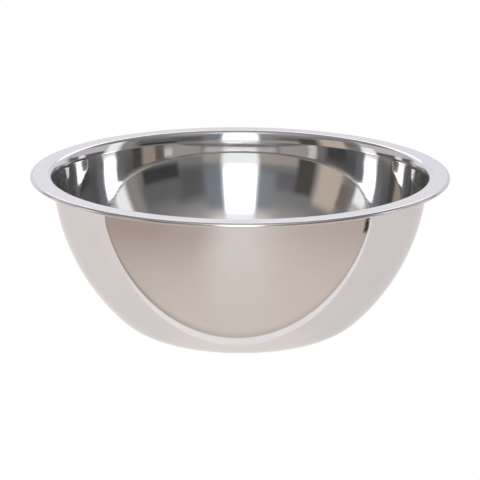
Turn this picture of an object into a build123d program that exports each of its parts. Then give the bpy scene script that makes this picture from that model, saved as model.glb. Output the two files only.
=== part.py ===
"""A stainless-steel mixing bowl: one disc of sheet, pressed to shape, with a flat rim and a rolled lip."""
import os
from math import cos, radians, sin

from build123d import *

# Overall sizes, in millimetres. The origin is the centre of the base, on its underside.
rim_diameter = 320.0          # over the rolled lip
height = 125.0                # from the underside of the base to the top of the rim
base_diameter = 115.0         # the flat disc that the bowl stands on
sheet = 0.8                   # thickness of the steel, the same everywhere

# The rim: a flat ring whose outer edge is bent down and rolled back under it.
rim_width = 13.0              # from the mouth, the ring's inner edge, to the outside of the lip
lip_bend_inside = 1.2         # inside radius where the ring turns down
lip_curl_inside = 0.3         # inside radius where the edge turns back up, under the ring
lip_tail = 0.4                # straight end of the rolled edge

# The neck below the rim: a tight fillet, a gentler flare, then a short straight band.
fillet_radius = 3.4
flare_radius = 21.8
flare_lean = 25.0             # degrees from vertical, where the fillet meets the flare
band_lean = 7.3               # degrees from vertical, along the straight band
band_length = 7.0

# The body: a large side arc, then a smaller corner arc that runs into the flat base.
corner_lean = 46.0            # degrees from vertical, where the corner arc meets the side arc


def toward(start, distance, angle):
    """The point at a distance from start, in the direction of angle, in degrees."""
    return (start[0] + distance * cos(radians(angle)), start[1] + distance * sin(radians(angle)))


# Every radius and centre below belongs to the upper skin of the sheet, which faces into the bowl.
rim_radius = rim_diameter / 2
mouth_radius = rim_radius - rim_width
base_radius = base_diameter / 2

# The neck's two arcs have their centres outside the wall.
fillet_centre = (mouth_radius, height - fillet_radius)
flare_top = toward(fillet_centre, fillet_radius, 180 - flare_lean)
flare_centre = toward(flare_top, flare_radius, -flare_lean)
band_top = toward(flare_centre, flare_radius, 180 - band_lean)
band_foot = toward(band_top, band_length, 270 - band_lean)

# The corner arc leaves the base level, and the side arc reaches the band's foot at the band's lean.
# Each arc covers its radius times these shares, outwards and upwards, so both radii follow.
corner_out = cos(radians(corner_lean))
corner_up = 1 - sin(radians(corner_lean))
side_out = cos(radians(band_lean)) - cos(radians(corner_lean))
side_up = sin(radians(corner_lean)) - sin(radians(band_lean))
reach = band_foot[0] - base_radius
rise = band_foot[1] - sheet
scale = corner_out * side_up - corner_up * side_out
corner_radius = (reach * side_up - rise * side_out) / scale
side_radius = (rise * corner_out - reach * corner_up) / scale
corner_centre = (base_radius, sheet + corner_radius)
side_centre = toward(band_foot, side_radius, 180 - band_lean)

# The rolled lip's two bends lie side by side, so the outer face of the lip is continuous.
lip_bend_radius = lip_bend_inside + sheet
lip_curl_radius = lip_curl_inside + sheet
lip_bend_centre = (rim_radius - lip_bend_radius, height - lip_bend_radius)
lip_curl_centre = (rim_radius - lip_curl_radius, height - lip_bend_radius)


def skin(depth):
    """Draws the skin at a depth below the upper one, from the axis out, and returns its two ends."""
    base = Line((0, sheet - depth), (base_radius, sheet - depth))
    CenterArc(corner_centre, corner_radius + depth, -90, 90 - corner_lean)
    CenterArc(side_centre, side_radius + depth, -corner_lean, corner_lean - band_lean)
    Line(toward(band_foot, depth, -band_lean), toward(band_top, depth, -band_lean))
    CenterArc(flare_centre, flare_radius - depth, 180 - band_lean, band_lean - flare_lean)
    CenterArc(fillet_centre, fillet_radius - depth, 180 - flare_lean, flare_lean - 90)
    Line((mouth_radius, height - depth), (lip_bend_centre[0], height - depth))
    CenterArc(lip_bend_centre, lip_bend_radius - depth, 90, -90)
    curl = CenterArc(lip_curl_centre, lip_curl_radius - depth, 0, -180)
    tail = Line(curl @ 1, curl @ 1 + Vector(0, lip_tail))
    return base @ 0, tail @ 1


with BuildPart() as bowl:
    with BuildSketch(Plane.XZ):
        with BuildLine():
            upper_axis, upper_edge = skin(0)
            lower_axis, lower_edge = skin(sheet)
            Line(upper_axis, lower_axis)
            Line(upper_edge, lower_edge)
        make_face()
    revolve(axis=Axis.Z)

bowl.part.label = "bowl"

os.makedirs("parts", exist_ok=True)
export_step(bowl.part, "parts/bowl.step")
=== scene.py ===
from math import cos, pi, radians, sin

import bpy
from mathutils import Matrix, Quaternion, Vector


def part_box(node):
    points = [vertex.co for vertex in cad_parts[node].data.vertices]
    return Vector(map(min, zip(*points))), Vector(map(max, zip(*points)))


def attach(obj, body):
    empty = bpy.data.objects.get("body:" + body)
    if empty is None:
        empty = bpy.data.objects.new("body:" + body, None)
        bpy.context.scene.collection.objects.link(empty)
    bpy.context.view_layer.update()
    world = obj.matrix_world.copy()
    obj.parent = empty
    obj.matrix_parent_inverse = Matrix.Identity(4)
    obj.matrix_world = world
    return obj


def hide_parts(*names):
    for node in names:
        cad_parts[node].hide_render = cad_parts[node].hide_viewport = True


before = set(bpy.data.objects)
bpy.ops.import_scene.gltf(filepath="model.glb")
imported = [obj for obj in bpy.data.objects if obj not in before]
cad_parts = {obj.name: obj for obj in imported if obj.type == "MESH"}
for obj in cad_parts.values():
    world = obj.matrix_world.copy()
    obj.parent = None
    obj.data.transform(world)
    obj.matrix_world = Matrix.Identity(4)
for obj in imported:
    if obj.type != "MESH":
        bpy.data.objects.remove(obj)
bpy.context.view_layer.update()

WHITE = (1.0, 1.0, 1.0, 1.0)

# ---------------------------------------------------------------------------------------------
# Sizes, in metres. The overall ones come from the frame, the rest are the CAD section's.
# ---------------------------------------------------------------------------------------------
rim_radius, _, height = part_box("bowl")[1]
base_radius = 0.0575
sheet = 0.0008

rim_width = 0.013
lip_bend_radius = 0.0020
lip_curl_radius = 0.0011
lip_tail = 0.0004

fillet_radius = 0.0034
flare_radius = 0.0218
flare_lean = 25.0
band_lean = 7.3
band_length = 0.007
corner_lean = 46.0

TURNS = 240                    # facets round the bowl


# ---------------------------------------------------------------------------------------------
# Section of the sheet. Each point is (radius, height, facing): facing is the direction of the
# upper skin's normal in the section plane, in degrees from straight outwards.
# ---------------------------------------------------------------------------------------------
def toward(start, distance, angle):
    """The point at a distance from start, in the direction of angle, in degrees."""
    return (start[0] + distance * cos(radians(angle)), start[1] + distance * sin(radians(angle)))


def bent(centre, radius, start, end, steps, inwards):
    """An arc's points. The upper skin faces the arc's centre if inwards, and away from it if not."""
    points = []
    for i in range(steps + 1):
        angle = start + (end - start) * i / steps
        points.append((*toward(centre, radius, angle), angle + 180 if inwards else angle))
    return points


def straight(start, end, facing, steps):
    """Points from start to end, both included."""
    points = []
    for i in range(steps + 1):
        share = i / steps
        out = start[0] + (end[0] - start[0]) * share
        up = start[1] + (end[1] - start[1]) * share
        points.append((out, up, facing))
    return points


mouth_radius = rim_radius - rim_width
fillet_centre = (mouth_radius, height - fillet_radius)
flare_top = toward(fillet_centre, fillet_radius, 180 - flare_lean)
flare_centre = toward(flare_top, flare_radius, -flare_lean)
band_top = toward(flare_centre, flare_radius, 180 - band_lean)
band_foot = toward(band_top, band_length, 270 - band_lean)

corner_out = cos(radians(corner_lean))
corner_up = 1 - sin(radians(corner_lean))
side_out = cos(radians(band_lean)) - cos(radians(corner_lean))
side_up = sin(radians(corner_lean)) - sin(radians(band_lean))
reach = band_foot[0] - base_radius
rise = band_foot[1] - sheet
scale = corner_out * side_up - corner_up * side_out
corner_radius = (reach * side_up - rise * side_out) / scale
side_radius = (rise * corner_out - reach * corner_up) / scale
corner_centre = (base_radius, sheet + corner_radius)
side_centre = toward(band_foot, side_radius, 180 - band_lean)

lip_bend_centre = (rim_radius - lip_bend_radius, height - lip_bend_radius)
lip_curl_centre = (rim_radius - lip_curl_radius, height - lip_bend_radius)


def skin(depth):
    """One skin's stretches from the axis outwards, with their zones. The upper skin has depth 0."""
    up = 90
    band = (toward(band_foot, depth, -band_lean), toward(band_top, depth, -band_lean))
    curl_end = toward(lip_curl_centre, lip_curl_radius - depth, 180)
    tail_end = (curl_end[0], curl_end[1] + lip_tail)
    return [
        ("wall", straight((0, sheet - depth), (base_radius, sheet - depth), up, 8)),
        ("wall", bent(corner_centre, corner_radius + depth, -90, -corner_lean, 20, True)),
        ("wall", bent(side_centre, side_radius + depth, -corner_lean, -band_lean, 36, True)),
        ("wall", straight(*band, 180 - band_lean, 2)),
        ("wall", bent(flare_centre, flare_radius - depth, 180 - band_lean, 180 - flare_lean, 8, False)),
        ("wall", bent(fillet_centre, fillet_radius - depth, 180 - flare_lean, 90, 12, False)),
        ("ring", straight((mouth_radius, height - depth), (lip_bend_centre[0], height - depth), up, 3)),
        ("lip", bent(lip_bend_centre, lip_bend_radius - depth, 90, 0, 10, False)),
        ("lip", bent(lip_curl_centre, lip_curl_radius - depth, 0, -180, 10, False)),
        ("lip", straight(curl_end, tail_end, 180, 1)),
    ]


# ---------------------------------------------------------------------------------------------
# The bowl's mesh
# ---------------------------------------------------------------------------------------------
INSIDE, RING, LIP, OUTSIDE = range(4)       # the piece's material slots


class Lathe:
    """Collects rings of vertices, the faces between them and the normal at each face corner."""

    def __init__(self):
        self.verts, self.faces, self.slots, self.normals = [], [], [], []

    def ring(self, radius, level):
        start = len(self.verts)
        if radius == 0:
            self.verts.append((0.0, 0.0, level))
            return [start] * TURNS
        for k in range(TURNS):
            turn = 2 * pi * k / TURNS
            self.verts.append((radius * cos(turn), radius * sin(turn), level))
        return list(range(start, start + TURNS))

    def strip(self, first, second, facings, slot, under):
        """Faces from one ring to the next; facings are the two rings' normals in the section plane."""
        for k in range(TURNS):
            after = (k + 1) % TURNS
            corners = [(first[k], k, 0), (second[k], k, 1)]
            corners += [(second[after], after, 1), (first[after], after, 0)]
            if first[k] == first[after]:
                corners.pop()
            if under:
                corners.reverse()
            self.faces.append([c[0] for c in corners])
            self.slots.append(slot)
            for _, step, end in corners:
                turn = 2 * pi * step / TURNS
                out, up = cos(radians(facings[end])), sin(radians(facings[end]))
                self.normals.append((out * cos(turn), out * sin(turn), up))

    def skin(self, stretches, slots, under):
        """Adds one skin and returns its outermost ring. The lower skin's faces look the other way."""
        last = None
        for zone, points in stretches:
            rings = []
            for i, (radius, level, facing) in enumerate(points):
                if i == 0 and last is not None:
                    rings.append(last)
                else:
                    rings.append(self.ring(radius, level))
            for i in range(len(points) - 1):
                turn = 180 if under else 0
                facings = (points[i][2] + turn, points[i + 1][2] + turn)
                self.strip(rings[i], rings[i + 1], facings, slots[zone], under)
            last = rings[-1]
        return last

    def mesh(self, name):
        mesh = bpy.data.meshes.new(name)
        mesh.from_pydata(self.verts, [], self.faces)
        mesh.polygons.foreach_set("material_index", self.slots)
        mesh.polygons.foreach_set("use_smooth", [True] * len(self.faces))
        mesh.normals_split_custom_set(self.normals)
        mesh.update()
        return mesh


def make_bowl():
    lathe = Lathe()
    upper_slots = {"wall": INSIDE, "ring": RING, "lip": LIP}
    lower_slots = {"wall": OUTSIDE, "ring": OUTSIDE, "lip": LIP}
    upper_edge = lathe.skin(skin(0.0), upper_slots, False)
    lower_edge = lathe.skin(skin(sheet), lower_slots, True)
    lathe.strip(upper_edge, lower_edge, (90, 90), LIP, False)
    piece = bpy.data.objects.new("bowl_steel", lathe.mesh("bowl_steel"))
    bpy.context.scene.collection.objects.link(piece)
    return piece


# ---------------------------------------------------------------------------------------------
# Node trees
# ---------------------------------------------------------------------------------------------
class Nodes:
    """A material's or world's node tree with short calls."""

    def __init__(self, owner):
        owner.use_nodes = True
        self.tree = owner.node_tree
        self.tree.nodes.clear()

    def add(self, kind, **settings):
        node = self.tree.nodes.new(kind)
        for name, value in settings.items():
            setattr(node, name, value)
        return node

    def feed(self, socket, value):
        if isinstance(value, (int, float, tuple)):
            socket.default_value = value
        else:
            self.tree.links.new(value, socket)

    def math(self, operation, *values):
        node = self.add("ShaderNodeMath", operation=operation)
        for socket, value in zip(node.inputs, values):
            self.feed(socket, value)
        return node.outputs[0]

    def ramp(self, value, low, high, to_low=0.0, to_high=1.0):
        """A smooth step from to_low to to_high as value goes from low to high."""
        node = self.add("ShaderNodeMapRange", interpolation_type="SMOOTHSTEP")
        for socket, number in zip(node.inputs, (value, low, high, to_low, to_high)):
            self.feed(socket, number)
        return node.outputs[0]

    def mix(self, factor, a, b):
        node = self.add("ShaderNodeMix", data_type="RGBA")
        self.feed(node.inputs[0], factor)
        self.feed(node.inputs[6], a)
        self.feed(node.inputs[7], b)
        return node.outputs[2]


# ---------------------------------------------------------------------------------------------
# Materials
# ---------------------------------------------------------------------------------------------
STEEL = (0.62, 0.605, 0.59, 1.0)
STEEL_DULL = (0.575, 0.56, 0.55, 1.0)
EDGE_TINT = (0.84, 0.84, 0.84, 1.0)      # keeps the steel from turning white at a grazing view
HAZE_ROUGHNESS = 0.42
HAZE_IOR = 2.0
SMEAR_SCALE = 38.0                       # dull smears a few centimetres across
TURNED = 0.25                            # turns the anisotropic gloss along the brush lines


def place_on(n):
    """The object's own x, y and z at the shaded point, in metres."""
    axes = n.add("ShaderNodeSeparateXYZ")
    n.feed(axes.inputs[0], n.add("ShaderNodeTexCoord").outputs["Object"])
    return axes.outputs


def length_of(n, x, y):
    return n.math("SQRT", n.math("ADD", n.math("MULTIPLY", x, x), n.math("MULTIPLY", y, y)))


def turned_noise(n, around, across, detail, rough):
    """Noise drawn out round the bowl's axis. Around is its fineness that way, across is per metre of wall."""
    x, y, z = place_on(n)
    radius = length_of(n, x, y)
    safe = n.math("MAXIMUM", radius, 0.001)
    turned = n.add("ShaderNodeCombineXYZ")
    n.feed(turned.inputs[0], n.math("MULTIPLY", n.math("DIVIDE", x, safe), around))
    n.feed(turned.inputs[1], n.math("MULTIPLY", n.math("DIVIDE", y, safe), around))
    n.feed(turned.inputs[2], n.math("MULTIPLY", radius, across))
    noise = n.add("ShaderNodeTexNoise", noise_dimensions="4D")
    n.feed(noise.inputs["Vector"], turned.outputs[0])
    n.feed(noise.inputs["W"], n.math("MULTIPLY", z, across))
    noise.inputs["Scale"].default_value = 1.0
    noise.inputs["Detail"].default_value = detail
    noise.inputs["Roughness"].default_value = rough
    return noise.outputs["Fac"]


def smear_noise(n):
    noise = n.add("ShaderNodeTexNoise")
    n.feed(noise.inputs["Vector"], n.add("ShaderNodeTexCoord").outputs["Object"])
    noise.inputs["Scale"].default_value = SMEAR_SCALE
    noise.inputs["Detail"].default_value = 3.0
    return noise.outputs["Fac"]


def steel(name, mirror, brushed, share, around, across, depth, anisotropic=0.0, haze=0.0):
    """Steel with turned brush lines, which a larger share makes more common.

    Mirror and brushed are the roughnesses between and on the lines, and depth is the lines' depth in
    metres. Haze is the weight of a wide, weak gloss over the sharp one, as the finest scratches give.
    """
    material = bpy.data.materials.new(name)
    n = Nodes(material)
    shader = n.add("ShaderNodeBsdfPrincipled")
    output = n.add("ShaderNodeOutputMaterial")
    n.feed(output.inputs[0], shader.outputs[0])
    lines = turned_noise(n, around, across, 3.0, 0.6)
    smears = smear_noise(n)
    dulled = n.ramp(smears, 0.35, 0.75, 0.0, 0.35)
    n.feed(shader.inputs["Base Color"], n.mix(dulled, STEEL, STEEL_DULL))
    worn = n.math("ADD", lines, n.math("MULTIPLY", n.math("SUBTRACT", smears, 0.5), 0.25))
    level = 0.5 + 0.25 * (0.5 - share)
    n.feed(shader.inputs["Roughness"], n.ramp(worn, level - 0.10, level + 0.20, mirror, brushed))
    shader.inputs["Metallic"].default_value = 1.0
    shader.inputs["Specular Tint"].default_value = EDGE_TINT
    shader.inputs["Anisotropic"].default_value = anisotropic
    shader.inputs["Anisotropic Rotation"].default_value = TURNED
    shader.inputs["Coat Weight"].default_value = haze
    shader.inputs["Coat Roughness"].default_value = HAZE_ROUGHNESS
    shader.inputs["Coat IOR"].default_value = HAZE_IOR
    bump = n.add("ShaderNodeBump")
    bump.inputs["Distance"].default_value = depth
    n.feed(bump.inputs["Height"], lines)
    n.feed(shader.inputs["Normal"], bump.outputs[0])
    return material


def dress(piece):
    inside = steel("steel_inside", 0.015, 0.10, 0.35, 3.0, 1100.0, 0.0000009, 0.3, 0.45)
    ring = steel("steel_ring", 0.28, 0.36, 0.5, 8.0, 1600.0, 0.0000008)
    lip = steel("steel_lip", 0.12, 0.22, 0.5, 3.0, 1600.0, 0.0000010)
    outside = steel("steel_outside", 0.035, 0.12, 0.3, 2.5, 900.0, 0.0000006)
    for material in (inside, ring, lip, outside):
        piece.data.materials.append(material)


# ---------------------------------------------------------------------------------------------
# Studio: what the steel reflects, the floor and the camera
# ---------------------------------------------------------------------------------------------
# Panels of light and dark round the bowl: colour, azimuth (0 is towards the camera and 90 along +X),
# half width, lower and upper elevation, softness of the edges, all in degrees. Later ones cover earlier ones.
PANELS = [
    # the ceiling, brightest over the camera
    ((0.60, 0.56, 0.54), 0, 56, 36, 80, 9),
    ((0.92, 0.89, 0.87), 0, 24, 38, 70, 8),
    ((1.10, 1.12, 1.15), 0, 24, 41, 58, 3),
    # the wall in front of the bowl, and what stands along it
    ((0.47, 0.41, 0.37), -8, 32, -20, 9, 1.5),
    ((0.15, 0.15, 0.17), -27, 13, 12, 23, 3),
    ((0.08, 0.07, 0.06), -44, 6, -20, 23, 2),
    ((0.72, 0.61, 0.52), -62, 9, -20, 26, 3),
    ((0.24, 0.19, 0.17), -75, 4, 11, 22, 1.5),
    ((1.35, 1.38, 1.42), -89, 6, -20, 17, 2),
    ((0.78, 0.77, 0.78), -89, 6, 17, 40, 3),
    ((0.11, 0.11, 0.115), 34, 12, 9, 27, 4),
    ((0.16, 0.16, 0.17), 55, 15, 12, 25, 4),
    ((0.045, 0.045, 0.05), 54, 13, 6, 14, 2),
    ((0.36, 0.34, 0.33), 76, 4, -20, 27, 3),
    ((1.35, 1.38, 1.44), 88, 6, -20, 32, 3),
    # the side walls
    ((0.76, 0.72, 0.73), -112, 18, 8, 36, 3),
    ((0.76, 0.72, 0.73), 112, 18, 8, 36, 3),
    ((0.10, 0.12, 0.16), -114, 18, -20, 8, 1.5),
    ((0.10, 0.12, 0.16), 114, 18, -20, 8, 1.5),
    ((1.10, 1.15, 1.20), -117, 3.5, -20, 9, 2),
    ((1.10, 1.15, 1.20), 117, 3.5, -20, 9, 2),
    # the softbox over the camera, and the pale stand below it
    ((1.30, 1.34, 1.40), 0, 11.5, -20, 62, 2),
    ((0.24, 0.27, 0.32), -16, 8, 13, 34, 4),
    ((0.20, 0.23, 0.28), 16, 8, 9, 34, 4),
    ((1.30, 1.34, 1.40), 0, 11.5, 6, 38, 3),
    ((6.50, 6.80, 7.20), 0, 9.5, 11.5, 36, 3),
]
ROOM = (0.26, 0.26, 0.27)
OVERHEAD = (0.50, 0.46, 0.44)
BACKDROP_LEFT = (1.07, 1.06, 1.18)
BACKDROP_RIGHT = (1.00, 0.985, 1.09)
BACK_LIGHT = (2.3, 2.35, 2.45)


def surroundings():
    """The light round the bowl. The camera itself sees plain white."""
    world = bpy.data.worlds.new("studio")
    bpy.context.scene.world = world
    n = Nodes(world)
    axes = n.add("ShaderNodeSeparateXYZ")
    n.feed(axes.inputs[0], n.add("ShaderNodeTexCoord").outputs["Generated"])
    x, y, z = axes.outputs
    azimuth = n.math("MULTIPLY", n.math("ARCTAN2", x, n.math("MULTIPLY", y, -1.0)), 180 / pi)
    elevation = n.math("MULTIPLY", n.math("ARCSINE", z), 180 / pi)
    colour = n.mix(n.ramp(elevation, 35.0, 80.0), (*ROOM, 1.0), (*OVERHEAD, 1.0))
    for shade, centre, half_width, low, high, soft in PANELS:
        aside = n.math("ABSOLUTE", n.math("SUBTRACT", azimuth, float(centre)))
        above = n.ramp(elevation, low - soft, low + soft)
        below = n.ramp(elevation, high - soft, high + soft, 1.0, 0.0)
        within = n.ramp(aside, half_width - soft, half_width + soft, 1.0, 0.0)
        mask = n.math("MULTIPLY", within, n.math("MULTIPLY", above, below))
        colour = n.mix(mask, colour, (*shade, 1.0))
    # a pale backdrop behind the bowl and a brighter light in the middle of it
    turned = n.math("ABSOLUTE", azimuth)
    low = n.ramp(elevation, 32.0, 44.0, 1.0, 0.0)
    behind = n.math("MULTIPLY", n.ramp(turned, 128.0, 140.0), low)
    backdrop = n.mix(n.ramp(x, -0.15, 0.15), (*BACKDROP_LEFT, 1.0), (*BACKDROP_RIGHT, 1.0))
    colour = n.mix(behind, colour, backdrop)
    over = n.math("MULTIPLY", n.ramp(elevation, 20.0, 25.0), n.ramp(elevation, 33.0, 43.0, 1.0, 0.0))
    lit = n.math("MULTIPLY", n.ramp(turned, 154.0, 163.0), over)
    colour = n.mix(lit, colour, (*BACK_LIGHT, 1.0))
    reflected = n.add("ShaderNodeBackground")
    n.feed(reflected.inputs["Color"], colour)
    white = n.add("ShaderNodeBackground")
    white.inputs["Color"].default_value = WHITE
    choose = n.add("ShaderNodeMixShader")
    n.feed(choose.inputs[0], n.add("ShaderNodeLightPath").outputs["Is Camera Ray"])
    n.feed(choose.inputs[1], reflected.outputs[0])
    n.feed(choose.inputs[2], white.outputs[0])
    output = n.add("ShaderNodeOutputWorld")
    n.feed(output.inputs[0], choose.outputs[0])


def plate(name, x_range, y_range, level):
    """A level rectangle with a material of its own, returned with the material's nodes."""
    (x0, x1), (y0, y1) = x_range, y_range
    mesh = bpy.data.meshes.new(name)
    corners = [(x0, y0, level), (x1, y0, level), (x1, y1, level), (x0, y1, level)]
    mesh.from_pydata(corners, [], [(0, 1, 2, 3)])
    piece = bpy.data.objects.new(name, mesh)
    bpy.context.scene.collection.objects.link(piece)
    material = bpy.data.materials.new(name)
    piece.data.materials.append(material)
    return piece, Nodes(material)


FLOOR_REACH = 6.0
FLOOR_NEAR = (1.18, 1.10, 1.07, 1.0)
FLOOR_LEFT = (1.06, 1.00, 0.995, 1.0)
FLOOR_RIGHT = (0.98, 0.93, 0.945, 1.0)


def floor():
    """The pale sheet under the bowl: white to the camera; in the steel it glows with painted light, brighter
    near the bowl and on the left.
    """
    _, n = plate("floor", (-FLOOR_REACH, FLOOR_REACH), (-FLOOR_REACH, FLOOR_REACH), 0.0)
    x, y, _ = place_on(n)
    # painted light: the floor glows brighter near the bowl, and a little brighter on the left than on the
    # right
    away = length_of(n, n.math("MULTIPLY", x, 1.8), y)
    wide = n.mix(n.ramp(x, -0.15, 0.15), FLOOR_LEFT, FLOOR_RIGHT)
    lit = n.mix(n.ramp(away, 0.07, 0.16), FLOOR_NEAR, wide)
    seen = n.add("ShaderNodeLightPath").outputs["Is Camera Ray"]
    glow = n.add("ShaderNodeEmission")
    n.feed(glow.inputs["Color"], n.mix(seen, lit, WHITE))
    output = n.add("ShaderNodeOutputMaterial")
    n.feed(output.inputs[0], glow.outputs[0])


# The tabletop in front of the sheet. All distances are from the bowl's axis.
TABLE_SIDES = 1.5
TABLE_FRONT = 1.6
TABLE_BACK = 0.08
TABLE_LEVEL = 0.0004               # just over the floor
TABLE_SLANT = 0.034                # the sheet's edge isn't quite square to the view
SHEET_EDGE = 0.0975                # the front of the sheet's bright edge, which starts about 7 mm behind it
TABLE_NEAR = (0.94, 0.84, 0.79, 1.0)
TABLE_LEFT = (0.58, 0.48, 0.435, 1.0)
TABLE_RIGHT = (0.70, 0.60, 0.56, 1.0)
TABLE_CENTRE = (1.03, 0.965, 0.94, 1.0)
TABLE_SHADOW = (0.34, 0.29, 0.26, 1.0)
DARK_BLOCK = (0.05, 0.05, 0.05, 1.0)
EDGE_LEFT = (1.06, 1.01, 0.99, 1.0)
EDGE_RIGHT = (1.22, 1.20, 1.22, 1.0)


def table_in_front():
    """The darker tabletop in front of the bowl's sheet, which shows only in the steel. It glows, and its
    bright and dark zones are painted light and shade.
    """
    card, n = plate("table_in_front", (-TABLE_SIDES, TABLE_SIDES), (-TABLE_FRONT, -TABLE_BACK), TABLE_LEVEL)
    card.visible_camera = False
    card.visible_shadow = False
    card.visible_diffuse = False
    x, y, _ = place_on(n)
    slanted = n.math("ADD", y, n.math("MULTIPLY", x, TABLE_SLANT))
    into = n.math("MULTIPLY", slanted, -1.0)
    aside = n.math("ABSOLUTE", x)
    left = n.ramp(x, -0.12, 0.12, 1.0, 0.0)
    far = n.mix(left, TABLE_RIGHT, TABLE_LEFT)
    # painted light: bright near the bowl, darker to the sides and to the front left
    away = n.math("ADD", aside, n.math("MULTIPLY", into, 0.25))
    colour = n.mix(n.ramp(away, 0.03, 0.38), TABLE_NEAR, far)
    front_left = n.math("MULTIPLY", left, n.ramp(into, 0.12, 0.32, 0.0, 0.45))
    colour = n.mix(front_left, colour, far)
    # the softbox's glow on the table, which widens towards the front
    spread = n.math("DIVIDE", aside, n.ramp(into, 0.10, 0.33, 0.035, 0.065))
    middle = n.ramp(spread, 0.2, 2.0, 1.0, 0.0)
    centre = n.math("MULTIPLY", middle, n.ramp(into, 0.10, 0.26, 0.15, 0.9))
    colour = n.mix(centre, colour, TABLE_CENTRE)
    # a small dark block on the right, beside the sheet's edge
    block = n.math("MULTIPLY", n.ramp(x, 0.285, 0.31), n.ramp(into, 0.112, 0.122, 1.0, 0.0))
    colour = n.mix(block, colour, DARK_BLOCK)
    # the sheet's edge and the shadow in front of it
    shadow = n.math("MULTIPLY", n.ramp(into, SHEET_EDGE, 0.108, 1.0, 0.0), n.ramp(x, -0.15, 0.0, 0.75, 0.3))
    colour = n.mix(shadow, colour, TABLE_SHADOW)
    edge = n.ramp(into, SHEET_EDGE, 0.0992, 1.0, 0.0)
    colour = n.mix(edge, colour, n.mix(n.ramp(x, -0.20, -0.08), EDGE_LEFT, EDGE_RIGHT))
    glow = n.add("ShaderNodeEmission")
    n.feed(glow.inputs["Color"], colour)
    clear = n.add("ShaderNodeBsdfTransparent")
    choose = n.add("ShaderNodeMixShader")
    n.feed(choose.inputs[0], n.ramp(into, 0.0895, 0.0910))
    n.feed(choose.inputs[1], clear.outputs[0])
    n.feed(choose.inputs[2], glow.outputs[0])
    output = n.add("ShaderNodeOutputMaterial")
    n.feed(output.inputs[0], choose.outputs[0])


CAMERA_PLACE = Vector((0.0, -1.920, 0.5803))
CAMERA_AIM = Vector((0.0001, 0.0, 0.0709))
CAMERA_LENS = 193.65               # millimetres, on a sensor 36 wide
CAMERA_TILT = 0.258                # degrees about the view axis


def camera():
    """A long lens almost two metres away, a little above the rim."""
    data = bpy.data.cameras.new("camera")
    data.sensor_width = 36.0
    data.lens = CAMERA_LENS
    eye = bpy.data.objects.new("camera", data)
    bpy.context.scene.collection.objects.link(eye)
    eye.location = CAMERA_PLACE
    eye.rotation_mode = "QUATERNION"
    tilt = Quaternion((0, 0, 1), radians(CAMERA_TILT))
    eye.rotation_quaternion = (CAMERA_AIM - CAMERA_PLACE).to_track_quat("-Z", "Y") @ tilt
    bpy.context.scene.camera = eye


bowl = make_bowl()
dress(bowl)
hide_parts("bowl")
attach(bowl, "root")
surroundings()
floor()
table_in_front()
camera()
bpy.context.scene.view_settings.view_transform = "Standard"
